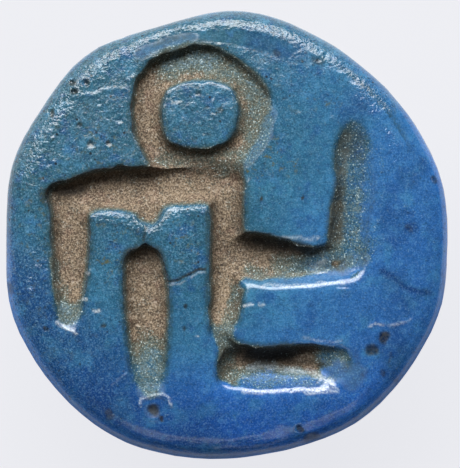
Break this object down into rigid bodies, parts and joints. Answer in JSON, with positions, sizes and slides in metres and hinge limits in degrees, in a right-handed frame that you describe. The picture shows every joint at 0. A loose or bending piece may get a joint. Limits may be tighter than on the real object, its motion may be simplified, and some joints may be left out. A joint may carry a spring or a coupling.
{
  "type": "button amulet",
  "caption": "Thick round blue-glazed faience disc with a sunken figure carved in its face and a pierced shank on its back for a cord.",
  "frame": {"origin": "middle of the flat foot of the shank, on which the amulet lies face up, under the middle of the disc", "axes": "+Z out of the carved face, +Y towards the top of the figure, +X along the cord hole"},
  "size_m": [0.018, 0.0184, 0.0074],
  "materials": {
    "glaze": "glossy copper-blue alkaline glaze over a granular quartz body, bare and tan in the floor of the carving"
  },
  "bodies": {
    "root": {"button_amulet": "glaze"}
  },
  "joints": []
}
